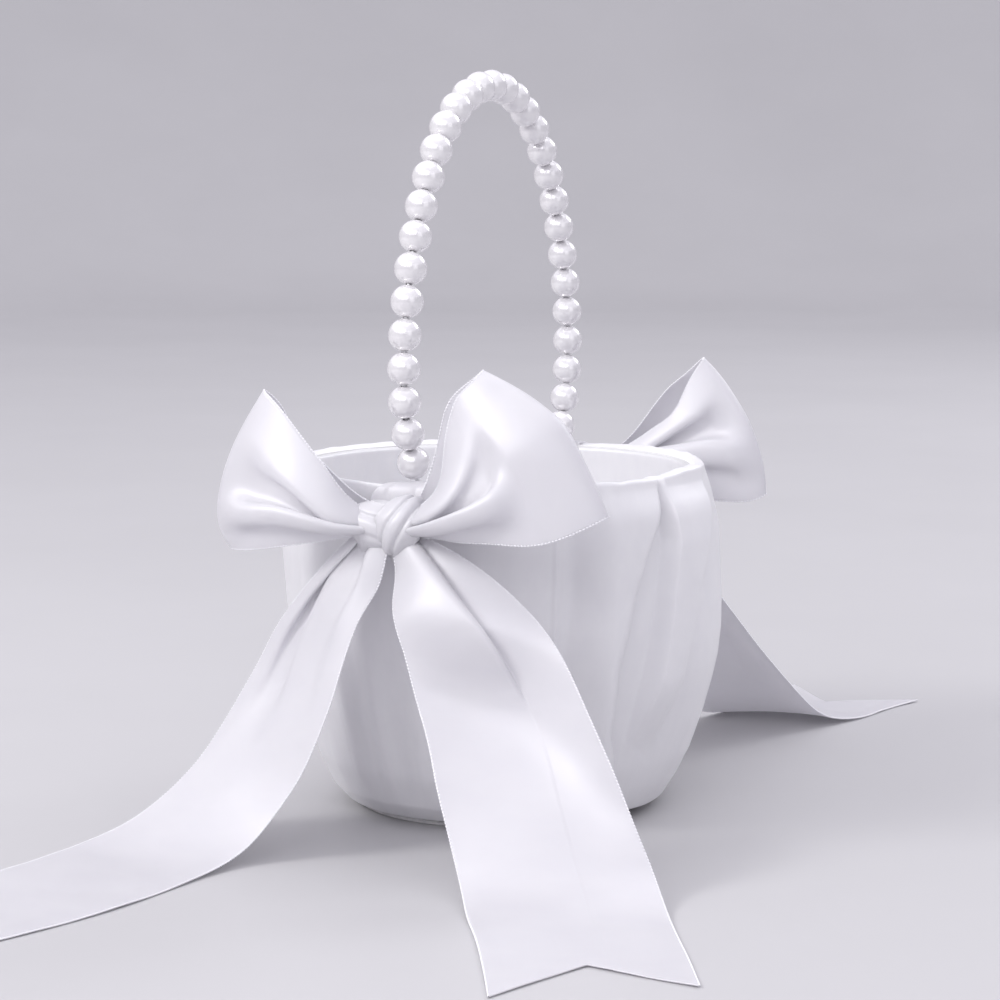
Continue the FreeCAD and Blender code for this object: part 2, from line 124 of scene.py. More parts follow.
def pearl_lacquer():
    """Glass bead under nacre lacquer: a soft body colour below a hard clear coat."""
    material, tree, shader, _ = blank_material("pearl_lacquer")
    link = tree.links.new
    place = tree.nodes.new("ShaderNodeTexCoord")
    swirl = stretched_noise(tree, place.outputs["Object"], (160, 160, 260), 3.0, 0.5)
    ramp = tree.nodes.new("ShaderNodeValToRGB")
    ramp.color_ramp.elements[0].position = 0.35
    ramp.color_ramp.elements[0].color = (0.81, 0.795, 0.815, 1)
    ramp.color_ramp.elements[1].position = 0.68
    ramp.color_ramp.elements[1].color = (0.86, 0.85, 0.86, 1)
    link(swirl, ramp.inputs["Fac"])
    link(ramp.outputs["Color"], shader.inputs["Base Color"])
    skin = node(tree, "ShaderNodeBump", Strength=0.012, Distance=0.0002)
    link(swirl, skin.inputs["Height"])
    link(skin.outputs["Normal"], shader.inputs["Normal"])
    shader.inputs["Roughness"].default_value = 0.22
    shader.inputs["Metallic"].default_value = 0.32
    shader.inputs["Specular IOR Level"].default_value = 0.8
    shader.inputs["Coat Weight"].default_value = 1.0
    shader.inputs["Coat Roughness"].default_value = 0.035
    shader.inputs["Coat IOR"].default_value = 1.55
    return material


def metal(name, colour, roughness, scratches):
    material, tree, shader, _ = blank_material(name)
    place = tree.nodes.new("ShaderNodeTexCoord")
    wear = stretched_noise(tree, place.outputs["Object"], scratches, 4.0, 0.6)
    rough = node(tree, "ShaderNodeMapRange")
    rough.inputs["To Min"].default_value = roughness * 0.7
    rough.inputs["To Max"].default_value = roughness * 1.4
    tree.links.new(wear, rough.inputs["Value"])
    tree.links.new(rough.outputs["Result"], shader.inputs["Roughness"])
    shader.inputs["Base Color"].default_value = colour
    shader.inputs["Metallic"].default_value = 1.0
    return material


def plain(name, light, shade, roughness, grain, depth):
    """Board, moulding and studio floor: two close tones over a fine grain."""
    material, tree, shader, _ = blank_material(name)
    link = tree.links.new
    place = tree.nodes.new("ShaderNodeTexCoord")
    fibre = stretched_noise(tree, place.outputs["Object"], grain, 5.0, 0.6)
    ramp = tree.nodes.new("ShaderNodeValToRGB")
    ramp.color_ramp.elements[0].position = 0.35
    ramp.color_ramp.elements[0].color = shade
    ramp.color_ramp.elements[1].position = 0.65
    ramp.color_ramp.elements[1].color = light
    link(fibre, ramp.inputs["Fac"])
    link(ramp.outputs["Color"], shader.inputs["Base Color"])
    bump = node(tree, "ShaderNodeBump", Strength=0.2, Distance=depth)
    link(fibre, bump.inputs["Height"])
    link(bump.outputs["Normal"], shader.inputs["Normal"])
    shader.inputs["Roughness"].default_value = roughness
    return material


# The cover, lining and ribbon are one white satin, and each pair of tones is its random slub
# variation. The cover and lining tones are set lighter as painted light, standing in for the lamp
# light that falls less on the upright cover and inside the basket. The ribbon tones are set darker
# as painted shade, toning down the stronger light that falls on the ribbons.
COVER_SATIN = satin("cover_satin", (0.925, 0.92, 0.94, 1), (0.90, 0.895, 0.92, 1),
                    (900, 60, 1), (16, 5, 1))
LINING_SATIN = satin("lining_satin", (0.915, 0.91, 0.925, 1), (0.885, 0.88, 0.905, 1),
                     (900, 60, 1), (16, 5, 1), 0.42)
RIBBON_SATIN = satin("ribbon_satin", (0.875, 0.868, 0.89, 1), (0.845, 0.838, 0.868, 1),
                     (30, 420, 1), (3, 5, 1), 0.45, 0.36)
SELVEDGE = plain("ribbon_selvedge", (0.90, 0.895, 0.92, 1), (0.80, 0.795, 0.83, 1),
                 0.6, (1500, 1500, 1500), 0.0001)
PEARL = pearl_lacquer()
STEEL = metal("handle_wire_steel", (0.74, 0.74, 0.75, 1), 0.28, (300, 300, 2200))
CHROME = metal("eyelet_chrome", (0.83, 0.83, 0.85, 1), 0.12, (600, 600, 600))
BOARD = plain("base_board", (0.86, 0.85, 0.85, 1), (0.78, 0.77, 0.77, 1),
              0.7, (700, 700, 700), 0.0002)
PLASTIC = plain("moulded_cup", (0.88, 0.88, 0.88, 1), (0.84, 0.84, 0.84, 1),
                0.5, (500, 500, 500), 0.0001)


# ------------------------------------------------------------- mesh helpers

def grid_object(name, points, uvs, material, closed_u=False, closed_v=False):
    """Mesh from a grid of points in millimetres, shape (along, across, 3)."""
    rows, columns = points.shape[:2]
    mesh = bpy.data.meshes.new(name)
    faces = []
    for i in range(rows if closed_u else rows - 1):
        below = ((i + 1) % rows) * columns
        for j in range(columns if closed_v else columns - 1):
            k = (j + 1) % columns
            faces.append((i * columns + j, i * columns + k, below + k, below + j))
    mesh.from_pydata((points.reshape(-1, 3) * MM).tolist(), [], faces)
    layer = mesh.uv_layers.new(name="UVMap")
    flat = uvs.reshape(-1, 2)
    corners = np.array([v for f in faces for v in f])
    layer.data.foreach_set("uv", flat[corners].ravel().astype(np.float32))
    mesh.polygons.foreach_set("use_smooth", [True] * len(faces))
    mesh.materials.append(material)
    made = bpy.data.objects.new(name, mesh)
    bpy.context.scene.collection.objects.link(made)
    return made


def thicken(piece, thickness, offset=-1.0):
    modifier = piece.modifiers.new("thickness", "SOLIDIFY")
    modifier.thickness = thickness * MM
    modifier.offset = offset
    modifier.use_even_offset = False


def spline(knots, values, at):
    """Natural cubic spline through rows of values."""
    knots = np.asarray(knots, float)
    values = np.asarray(values, float)
    n = len(knots)
    h = np.diff(knots)
    matrix = np.zeros((n, n))
    right = np.zeros(values.shape)
    matrix[0, 0] = matrix[-1, -1] = 1.0
    for i in range(1, n - 1):
        matrix[i, i - 1:i + 2] = h[i - 1], 2 * (h[i - 1] + h[i]), h[i]
        right[i] = 6 * ((values[i + 1] - values[i]) / h[i]
                        - (values[i] - values[i - 1]) / h[i - 1])
    bend = np.linalg.solve(matrix, right.reshape(n, -1)).reshape(values.shape)
    at = np.clip(np.asarray(at, float), knots[0], knots[-1])
    i = np.clip(np.searchsorted(knots, at, side="right") - 1, 0, n - 2)
    shape = (-1,) + (1,) * (values.ndim - 1)
    a = ((knots[i + 1] - at) / h[i]).reshape(shape)
    b = 1.0 - a
    hh = (h[i] ** 2 / 6).reshape(shape)
    return (a * values[i] + b * values[i + 1]
            + ((a ** 3 - a) * bend[i] + (b ** 3 - b) * bend[i + 1]) * hh)


def smooth(x, low, high):
    t = np.clip((x - low) / (high - low), 0, 1)
    return t * t * (3 - 2 * t)


def unit(vectors):
    return vectors / np.maximum(np.linalg.norm(vectors, axis=-1, keepdims=True), 1e-9)


def ripple(points, scale, seed):
    """Smooth noise at each point, between about -1 and 1."""
    flat = points.reshape(-1, 3) / scale
    shift = Vector((seed * 7.31, seed * 3.17, seed * 5.53))
    found = [noise.noise(Vector(p) + shift) for p in flat.tolist()]
    return np.array(found).reshape(points.shape[:-1])


# ------------------------------------------------------------------ ribbons

V_FINE = np.linspace(0.0, 1.0, 401)


class Pleats:
    """Section of a gathered ribbon: a line of constant length that winds into pleats.

    folds is a list of (place, breadth, side): where across the ribbon the pleat turns
    over, how much of the width it takes, and to which side it goes.  As the ribbon opens,
    soft pleats flatten out and knife pleats stay sharp and grow narrow."""

    def __init__(self, folds, knife):
        self.folds, self.knife = folds, knife
        self.amounts = np.linspace(0.0, 1.0, 61)
        widths = np.array([self.trace(a)[0][-1] for a in self.amounts])
        self.widths = np.minimum.accumulate(widths)

    def trace(self, amount, shift=0.0):
        step = V_FINE[1] - V_FINE[0]
        angle = np.zeros_like(V_FINE)
        for place, breadth, side in self.folds:
            if self.knife:
                x = (V_FINE - place - shift) / max(breadth * amount, 1e-4)
                turned = 2.9 * min(1.0, 0.35 + amount / 0.4)
                angle += turned * side * np.cos(np.pi * np.clip(x, -0.5, 0.5)) ** 2
            else:
                x = np.clip((V_FINE - place - shift) / breadth, -0.5, 0.5)
                angle += 2.75 * amount * side * np.cos(np.pi * x) ** 2
        across = np.concatenate(([0], np.cumsum(np.cos(angle[:-1])) * step))
        deep = np.concatenate(([0], np.cumsum(np.sin(angle[:-1])) * step))
        deep = deep - deep[-1] * V_FINE
        return across, deep

    def section(self, ratio, at, shift):
        """Share of the chord and depth, per ribbon width, at each place across."""
        amount = np.interp(-ratio, -self.widths, self.amounts)
        across, deep = self.trace(amount, shift)
        deep = deep - deep.mean()
        return (np.interp(at, V_FINE, across / across[-1]), np.interp(at, V_FINE, deep))


def ribbon(name, stations, folds, cut=0.0, flatten=1.0, wave=0.35, seed=1,
           rows=150, columns=96, corner=0.0, knife=False, drift=0.0):
    """Satin ribbon through stations of (one edge, middle, other edge).

    Where the edges come closer than the ribbon is wide, the rest of its width goes into
    pleats.  cut is the depth of the swallow tail at the far end, corner how sharply the
    sections turn at their middle, and drift how far the pleats wander across the ribbon
    over its first 50 mm."""
    stations = np.array(stations, float)
    middle = stations[:, 1]
    knots = np.concatenate(([0], np.cumsum(np.linalg.norm(np.diff(middle, axis=0), axis=1))))
    length = knots[-1]
    along = np.linspace(0, length, rows)
    across = np.linspace(0, 1, columns)
    dense = np.linspace(0, length, 4 * rows)
    path = spline(knots, stations, dense)
    pleats = Pleats(folds, knife)
    chord = path[:, 2] - path[:, 0]
    tangent = unit(np.gradient(path[:, 1], axis=0))
    normal = unit(np.cross(tangent, chord))
    reach = (np.linalg.norm(path[:, 1] - path[:, 0], axis=1)
             + np.linalg.norm(path[:, 2] - path[:, 1], axis=1)) / RIBBON
    slack = 1 - np.clip(reach, 0.12, 1.0)
    slack = slack * smooth(slack, 0.05, 0.24)
    shift = drift * (smooth(dense, 0, 50) - 0.5)
    share = np.empty((len(dense), columns))
    depth = np.empty((len(dense), columns))
    for i, r in enumerate(1 - slack):
        share[i], depth[i] = pleats.section(r, across, shift[i])
    s = share[..., None]
    top, mid, low = (path[:, k][:, None, :] for k in range(3))
    bend = ((1 - corner) * 4 * s * (1 - s)
            + corner * 1.09 * (1.005 - np.sqrt((2 * s - 1) ** 2 + 0.01)) / 0.987)
    sheet = (top * (1 - s) + low * s + (mid - (top + low) / 2) * bend
             + normal[:, None, :] * (depth * RIBBON * flatten)[..., None])
    end = np.clip((along[:, None] - (length - 70)) / 70, 0, 1)
    back = cut * (1 - np.abs(2 * across - 1))[None, :] * end ** 2
    place = (along[:, None] - back) / length * (len(dense) - 1)
    i = np.clip(place.astype(int), 0, len(dense) - 2)
    f = (place - i)[..., None]
    j = np.arange(columns)[None, :]
    points = sheet[i, j] * (1 - f) + sheet[i + 1, j] * f
    facing = normal[i] * (1 - f) + normal[i + 1] * f
    points = points + facing * (wave * ripple(points, 17.0, seed))[..., None]
    points[..., 2] = np.maximum(points[..., 2], 0.45)
    uvs = np.stack(np.broadcast_arrays(across[None, :],
                                       (along[:, None] - back) / RIBBON), axis=-1)
    piece = grid_object(name, points, uvs, RIBBON_SATIN)
    thicken(piece, CLOTH, 0.0)
    return piece, points, length


def selvedge(name, ribbons_points):
    """Picot edge: a row of tiny thread loops along both sides of the ribbon."""
    made = []
    for side, edge in enumerate((ribbons_points[:, 0], ribbons_points[:, -1])):
        inner = ribbons_points[:, 1] if side == 0 else ribbons_points[:, -2]
        steps = np.concatenate(([0], np.cumsum(np.linalg.norm(np.diff(edge, axis=0), axis=1))))
        count = int(steps[-1] / 0.26)
        at = np.linspace(0, steps[-1], count)
        line = np.stack([np.interp(at, steps, edge[:, k]) for k in range(3)], 1)
        within = np.stack([np.interp(at, steps, inner[:, k]) for k in range(3)], 1)
        outward = unit(line - within)
        ahead = unit(np.gradient(line, axis=0))
        upward = unit(np.cross(outward, ahead))
        radius = 0.27 + 0.12 * np.cos(np.arange(count) * np.pi / 2)
        turn = np.linspace(0, 2 * np.pi, 6, endpoint=False)
        ring = (outward[:, None] * np.cos(turn)[None, :, None]
                + upward[:, None] * np.sin(turn)[None, :, None])
        tube = line[:, None] + ring * radius[:, None, None]
        tube[..., 2] = np.maximum(tube[..., 2], 0.1)
        uvs = np.stack(np.broadcast_arrays(at[:, None] / 54, turn[None, :] / 6.28), axis=-1)
        made.append(grid_object("%s_selvedge_%d" % (name, side + 1), tube, uvs, SELVEDGE,
                                closed_v=True))
    return made


def bow_piece(name, stations, folds, held, rests, **more):
    piece, points, length = ribbon(name + "_satin", stations, folds, **more)
    edges = selvedge(name, points)
    for part in [piece] + edges:
        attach(part, "basket")
    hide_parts(name)
    return piece


FRONT_LOOP_RIGHT = [
    ((9, -80, 105), (8, -83, 100.5), (9, -80, 96)),
    ((15.5, -83, 110), (17, -90, 104), (17.5, -85, 97.2)),
    ((18.6, -84, 116), (25, -93, 108), (26, -88.5, 97)),
    ((20, -84, 127), (34, -93, 114), (37, -90, 97.3)),
    ((22.8, -83.5, 137), (41, -90.5, 122), (50, -90.5, 97.6)),
    ((26.2, -82.5, 141.5), (48.5, -87, 128), (61, -87, 101)),
    ((29.8, -79, 146.1), (54.2, -79.5, 132.2), (68.6, -80.5, 105.2)),
    ((25, -74.5, 143.3), (48, -72, 126), (62, -73.5, 103)),
    ((17, -72, 137), (37, -69, 118), (44, -70, 98)),
    ((12, -70.5, 124), (23, -69, 108), (27, -70, 97)),
    ((8, -71, 111), (12, -70.5, 103), (13, -71, 97)),
    ((5, -73, 104), (5, -72.5, 100), (5, -73, 96)),
]
FRONT_LOOP_LEFT = [
    ((-8, -80, 104), (-7, -83, 100), (-8, -80, 96)),
    ((-12.9, -84.5, 109.5), (-13.5, -89, 102), (-14, -85, 95.6)),
    ((-17.5, -86, 116), (-20.5, -91, 105), (-21, -88, 94.4)),
    ((-22.5, -86.5, 121.8), (-30, -91.5, 108), (-31, -88.5, 92.8)),
    ((-30, -85.5, 130), (-41, -89, 108.5), (-42, -86.5, 91)),
    ((-36.5, -83, 135.5), (-50, -85.5, 109), (-49, -83.5, 90.2)),
    ((-41.2, -79.6, 138.3), (-56.2, -79.5, 108.5), (-52.6, -79, 90)),
    ((-38.6, -75.5, 134.6), (-50, -73.5, 109), (-47, -74, 90.5)),
    ((-35, -73, 127), (-38, -71.5, 108), (-37, -72, 92)),
    ((-28.6, -71.4, 119), (-27, -70.5, 106), (-27, -71, 94)),
    ((-16, -71, 108), (-16, -70.5, 101.5), (-16, -71, 95)),
    ((-6, -73, 104), (-6, -72.5, 100), (-6, -73, 96)),
]
BACK_LOOP_RIGHT = [
    ((9, 73, 104), (8, 72.5, 100), (9, 73, 96)),
    ((17, 71.5, 107), (17, 70.5, 102.5), (17, 71, 97)),
    ((25, 71.5, 111.5), (27, 69.5, 106), (28, 70.5, 95)),
    ((32, 72, 116.5), (40, 70.5, 110), (44, 72, 92)),
    ((38.5, 73.5, 123), (51, 73, 113), (57, 75, 91)),
    ((42, 76.5, 132), (58, 76, 114), (64.5, 78, 91.5)),
    ((45.6, 80, 139), (62, 81, 117), (68, 81, 93.5)),
    ((40, 83, 135), (54, 88, 117), (58, 86, 91.5)),
    ((33, 85.5, 129.7), (42, 92, 115), (45, 89, 90.5)),
    ((25.5, 86.5, 121.5), (29, 92, 108), (30, 88.5, 92)),
    ((16.5, 84, 109.6), (18, 89, 102), (18, 85, 94)),
    ((8, 80, 104), (8, 83, 100), (8, 80, 96)),
]
BACK_LOOP_LEFT = [
    ((-9, 73, 104), (-8, 72.5, 100), (-9, 73, 96)),
    ((-15, 72, 109), (-16, 70.5, 102), (-16, 71, 95)),
    ((-22, 71.5, 115), (-25, 69.5, 104), (-26, 70.5, 92)),
    ((-29, 73, 121), (-36, 72, 106), (-37, 73, 89)),
    ((-35.5, 79.5, 125.5), (-48.5, 80, 106), (-45, 80.5, 86)),
    ((-29, 86, 121), (-36, 90, 105), (-36, 87, 88)),
    ((-22, 88, 115), (-25, 92, 103), (-25, 88, 91)),
    ((-14, 85, 109), (-15, 89, 101), (-15, 85, 94)),
    ((-8, 80, 104), (-7, 83, 100), (-8, 80, 96)),
]


def with_middles(rows, swell):
    """Adds the middle of each station, pushed out along (x, y, z) by swell."""
    return [(left, tuple((a + b) / 2 + s for a, b, s in zip(left, right, push)), right)
            for (left, right), push in zip(rows, swell)]


FRONT_TAIL_RIGHT = [
    ((0, -79, 97), (8, -79, 97)), ((3.4, -82, 88), (19, -79.5, 93)),
    ((5.4, -89, 79), (35, -81, 84.5)), ((8.4, -94, 72), (47, -84, 76)),
    ((12, -96, 64), (56, -87, 67)), ((16.6, -98, 52), (64.5, -90, 54.5)),
    ((22.5, -103, 41), (71.5, -93, 43)), ((28, -109.5, 30), (78, -95, 31)),
    ((33, -114, 19.5), (84, -97, 19)), ((38, -119, 10), (90, -100.5, 9)),
    ((43, -126, 4), (95.5, -108, 3.5)), ((48, -135, 1.3), (100.5, -117, 1.2)),
    ((56, -149, 0.6), (107, -130, 0.6)),
    ((68.5, -173, 0.6), (116.5, -149, 0.6)), ((81, -199, 0.6), (127, -171, 0.6)),
]
FRONT_TAIL_LEFT = [
    ((-9, -78, 97), (1, -79, 96)), ((-17, -78.5, 90), (0.5, -81, 90)),
    ((-27, -77.5, 79.5), (-1, -83.5, 81)), ((-36, -75.5, 69), (-5, -87, 72)),
    ((-42.5, -73.5, 59.5), (-8, -90.5, 62)), ((-49, -73.5, 48.5), (-10.5, -94, 51)),
    ((-57, -75, 36), (-14.5, -97.5, 38.5)), ((-66.5, -79, 21.5), (-20.5, -101, 25)),
    ((-76.5, -84.5, 10.5), (-27, -104.5, 14)), ((-84, -94, 3.8), (-33, -110, 5.5)),
    ((-89, -106, 1.2), (-37, -120, 1.8)), ((-92, -122, 0.6), (-40.5, -138, 0.6)),
    ((-97, -147, 0.6), (-45, -163, 0.6)),
    ((-107, -178, 0.6), (-56.5, -198, 0.6)), ((-119, -206, 0.6), (-69, -226, 0.6)),
]
BACK_TAIL_RIGHT = [
    ((0, 79, 97), (8, 79, 97)), ((4, 81, 89), (23, 80, 90)),
    ((7, 86, 80), (36, 85, 78)), ((9, 93, 68), (46, 92, 63)),
    ((11, 101, 52), (54, 103, 46)), ((14, 112, 34), (61, 115, 30)),
    ((18, 124, 18), (67, 130, 15)), ((22, 134, 8), (72, 141, 6)),
    ((26, 142, 3), (76.5, 150, 2.2)), ((29.5, 152, 0.9), (81, 160, 0.9)),
    ((33, 167, 0.6), (84.5, 172, 0.6)),
    ((37, 190, 0.6), (88, 186, 0.6)), ((42, 213, 0.6), (94, 201, 0.6)),
]
BACK_TAIL_LEFT = [
    ((-8, 79, 97), (0, 79, 97)), ((-22, 80, 90), (-5, 81, 89)),
    ((-34, 85, 78), (-8, 86, 80)), ((-43, 92, 63), (-9, 93, 68)),
    ((-51, 102, 46), (-10, 101, 52)), ((-57, 113, 29), (-12, 111, 34)),
    ((-63, 127, 14), (-14, 121, 18)), ((-67, 138, 5.5), (-17, 131, 8)),
    ((-70.5, 148, 1.8), (-20, 140, 2.5)), ((-73, 160, 0.7), (-21.5, 152, 0.8)),
    ((-80, 199, 0.6), (-29, 185, 0.6)),
]
TAIL_SWELL = [(0, -1, 0), (0, -2, 0), (0, -3, 0), (0, -3, 0), (0, -2.5, 0), (0, -2, 0),
              (0, -1.5, 0.5), (0, -1, 0.7), (0, -1, 1), (0, -0.6, 1)] + [(0, 0, 0)] * 6
RIGHT_SWELL = [(0, -1, 0), (0, -3, 0), (0, -6, 0.5), (0, -6, 0), (0, -1.5, -0.5),
               (0, 4.5, -1), (0, 6.5, -0.5), (0, 4.5, 0), (0, 1.5, 0.7), (0, -0.4, 1),
               (0, -0.4, 0.6)] + [(0, 0, 0)] * 4
BACK_SWELL = [(x, -y, z) for x, y, z in TAIL_SWELL]

bow_piece("front_loop_right", FRONT_LOOP_RIGHT,
          [(0.28, 0.3, 0.7), (0.56, 0.3, -1.0), (0.83, 0.3, 0.9)],
          "gathered", ["front_knot"], flatten=0.62, seed=3, corner=0.6)
bow_piece("front_loop_left", FRONT_LOOP_LEFT,
          [(0.3, 0.3, -0.8), (0.55, 0.26, 1.0), (0.8, 0.3, -0.9)],
          "gathered", ["front_knot"], flatten=0.62, seed=5)
bow_piece("back_loop_right", BACK_LOOP_RIGHT,
          [(0.25, 0.3, 0.9), (0.52, 0.3, -1.0), (0.8, 0.3, 0.8)],
          "gathered", ["back_knot"], flatten=0.62, seed=7)
bow_piece("back_loop_left", BACK_LOOP_LEFT,
          [(0.25, 0.3, -0.9), (0.5, 0.3, 1.0), (0.78, 0.3, -0.8)],
          "gathered", ["back_knot"], flatten=0.62, seed=9)
bow_piece("front_tail_right", with_middles(FRONT_TAIL_RIGHT, RIGHT_SWELL),
          [(0.52, 0.8, -1.0)], "hung", ["front_knot", "floor"],
          cut=22, flatten=0.8, seed=11, rows=240, columns=120, knife=True, drift=0.2)
bow_piece("front_tail_left", with_middles(FRONT_TAIL_LEFT, TAIL_SWELL),
          [(0.16, 0.3, -1.0), (0.42, 0.3, 1.0), (0.8, 0.34, 0.6)], "hung",
          ["front_knot", "floor"], cut=22, flatten=0.34, seed=13, rows=240)
bow_piece("back_tail_right", with_middles(BACK_TAIL_RIGHT, BACK_SWELL),
          [(0.3, 0.4, -0.9), (0.72, 0.4, 0.9)], "hung", ["back_knot", "floor"],
          cut=22, flatten=0.8, seed=15, rows=200)
bow_piece("back_tail_left", with_middles(BACK_TAIL_LEFT, BACK_SWELL),
          [(0.3, 0.4, -0.9), (0.72, 0.4, 0.9)], "hung", ["back_knot", "floor"],
          cut=22, flatten=0.8, seed=17, rows=200)


# ---------------------------------------------------------- knots and saddles

def folded_strip(name, spine, outward, across, half, crown, gap, runs, creases, seed):
    """Ribbon folded lengthwise into flat layers, along a spine of points.

    runs gives each layer from one edge of the ribbon to the other: where it starts and
    stops, in half widths of the strip, and how many gaps it lies under the face.
    creases gives the soft grooves of the face: place, depth and breadth."""
    x, turn_out, deep = [], [], []
    for k, (start, stop, level) in enumerate(runs):
        count = 48 if level == 0 else 14
        x += list(np.linspace(start, stop, count))
        turn_out += [0.0] * count
        deep += [level * gap] * count
        if k + 1 < len(runs):
            radius = (runs[k + 1][2] - level) * gap / 2
            bend = np.linspace(0, np.pi, 9)[1:-1]
            x += [stop] * len(bend)
            turn_out += list(np.sign(stop) * abs(radius) * np.sin(bend))
            deep += list(level * gap + radius * (1 - np.cos(bend)))
    x, turn_out, deep = (np.array(v)[None, :] for v in (x, turn_out, deep))
    along = np.concatenate(([0], np.cumsum(np.linalg.norm(np.diff(spine, axis=0), axis=1))))
    share = (along / along[-1])[:, None]
    pressed = 0
    for place, depth, breadth in creases:
        line = place + 0.12 * np.sin(2 * np.pi * share + 9 * place)
        pressed = pressed + depth * np.exp(-((x - line) / breadth) ** 2)
    under = deep + crown * x ** 2 + pressed * (1 - deep / (deep.max() + gap))
    side = x * half[:, None] + turn_out
    points = (spine[:, None] + across[:, None] * side[..., None]
              - outward[:, None] * under[..., None])
    points = points + outward[:, None] * (0.12 * ripple(points, 9.0, seed))[..., None]
    middle = len(spine) // 2
    steps = np.linalg.norm(np.diff(points[middle], axis=0), axis=1)
    width = np.concatenate(([0], np.cumsum(steps))) / RIBBON
    uvs = np.stack(np.broadcast_arrays(width[None, :], along[:, None] / RIBBON), axis=-1)
    piece = grid_object(name, points, uvs, RIBBON_SATIN)
    thicken(piece, CLOTH, 0.0)
    return piece, along[-1]


def knot(side, mirror):
    """Two strands of the tied knot, one wrapped over the other."""
    strands = [
        ("wrap", (4.6, -79.0, 99.4), (0.42, 0, 0.91), (0.91, 0, -0.42), 9.8, 9.0, (6.9, 5.4), 3.2,
         [(-0.36, 0.9, 0.13), (0.34, 0.7, 0.12)]),
        ("strand", (-4.6, -78.0, 98.6), (0.9, 0, -0.43), (0.43, 0, 0.9), 9.8, 7.6, (7.6, 5.8), 4.6,
         [(-0.28, 0.6, 0.12), (0.42, 0.8, 0.12)]),
    ]
    for label, centre, run, across, half_run, half_deep, widths, crown, creases in strands:
        turned = np.array((mirror, mirror, 1))
        sideways = np.array((mirror, 1, 1))
        centre, run, across = centre * turned, unit(run * sideways), unit(across * sideways)
        inward = np.array((0, mirror, 0))
        a = np.linspace(0.03, 2 * np.pi - 0.03, 96)[:, None] + np.pi / 2
        spine = centre + run * half_run * np.cos(a) + inward * half_deep * np.sin(a)
        outward = unit(run * np.cos(a) / half_run + inward * np.sin(a) / half_deep)
        half = np.interp(np.abs(np.cos(a[:, 0])), (0, 1), widths)
        name = "%s_knot_%s" % (side, label)
        piece, length = folded_strip(
            name, spine, outward, np.broadcast_to(across, spine.shape), half, crown, 0.7,
            [(-0.8, 1, 3), (1, -1, 2), (-1, 1, 0), (1, -0.75, 1)], creases, 21)
        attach(piece, "basket")
    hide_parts(side + "_knot")


knot("front", 1)
knot("back", -1)


def saddle(side, mirror):
    """Ribbon folded in three, from the knot up over the rim and down inside."""
    outline = [((-10, 70.5, 95), (14, 69.5, 95)), ((-10.6, 70, 102), (15, 68.5, 102)),
               ((-10.2, 69.2, 107), (16, 67.4, 107)), ((-8, 68, 110), (16.5, 66, 110)),
               ((-6, 65.6, 110.95), (17, 63.7, 110.95)), ((-6, 63.2, 110), (17, 61.2, 110)),
               ((-6.5, 62.3, 107), (17, 60.3, 107)), ((-7, 62.3, 102.5), (17, 60.3, 102.5))]
    edges = np.array(outline) * (mirror, -mirror, 1)
    knots = np.arange(len(edges), dtype=float)
    edges = spline(knots, edges, np.linspace(0, knots[-1], 70))
    spine = edges.mean(axis=1)
    rise = 1 + 0.012 * smooth(112.4 - spine[:, 2], 0, 3)
    spine = spine * np.stack((np.ones(70), rise, np.ones(70)), axis=1)
    across = unit(edges[:, 1] - edges[:, 0])
    outward = unit(np.cross(np.gradient(spine, axis=0), across))
    rim = np.array((0, -66.0 * mirror, 104.0))
    outward = outward * np.sign(((spine - rim) * outward).sum(axis=1).mean())
    half = np.linalg.norm(edges[:, 1] - edges[:, 0], axis=1) / 2 - 0.4
    piece, length = folded_strip(
        side + "_saddle_satin", spine, outward, across, half, 0.5, 0.42,
        [(0.3, -1, 2), (-1, 1, 0), (1, -0.2, 1)],
        [(-0.62, 0.35, 0.06), (0.05, 0.3, 0.07), (0.6, 0.35, 0.06)], 25)
    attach(piece, "basket")
    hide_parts(side + "_saddle")


saddle("front", 1)
saddle("back", -1)


# ------------------------------------------------------------ cover and lining

WALL = [(47.0, 1.7), (51.9, 7.0), (55.9, 17.0), (60.0, 35.0), (65.6, 65.0), (67.0, 83.0),
        (67.0, 110.4)]
BULGE = [(48.0, 1.7), (56.4, 3.5), (61.0, 11.0), (64.8, 19.0), (68.6, 30.0), (71.6, 41.0),
         (73.4, 49.0), (74.4, 58.0), (74.4, 70.0), (73.2, 91.0), (70.4, 103.0), (68.0, 110.4)]


def radius_at(rows, z):
    r, h = np.array(rows).T
    return np.interp(z, h, r)


def path_at(rows, z):
    """Plan angle of a fold's edge at each height."""
    h, a = np.array(rows).T
    return np.interp(z, h, a)


# Pleats of the loose side: plan angle of both edges by height, how sharply each edge turns
# (degrees), how far the pleat stands out and the height below which it dies away.
PLEATS = [
    ([(0, -43), (110, -42)], 12.0,
     [(0, -30), (17, -31), (31, -35), (53, -35), (74, -32.2), (92, -28.6), (112, -22.4)],
     [(0, 5.0), (80, 4.6), (97, 2.4), (112, 1.8)], 6.4, 10),
    ([(0, -26), (16, -26.3), (25, -27), (46, -25.0), (74, -22.6), (92, -20.3), (112, -20.8)],
     2.6,
     [(0, -19), (46, -17.6), (61, -16.8), (78, -14), (95, -7.8), (105, -3.7), (112, -0.5)],
     [(0, 5.0), (50, 3.6), (70, 2.0), (112, 1.8)], 5.8, 34),
    ([(0, 32), (60, 33), (112, 35)], 10.0, [(0, 44), (50, 48), (112, 52)],
     [(0, 5.0), (112, 2.6)], 3.0, 18),
    ([(0, 58), (60, 60), (112, 62)], 4.0, [(0, 70), (60, 76), (112, 80)],
     [(0, 5.0), (112, 2.8)], 3.2, 22),
    ([(0, 88), (60, 91), (112, 94)], 10.0, [(0, 101), (60, 107), (112, 112)],
     [(0, 5.0), (112, 3.0)], 2.8, 18),
]
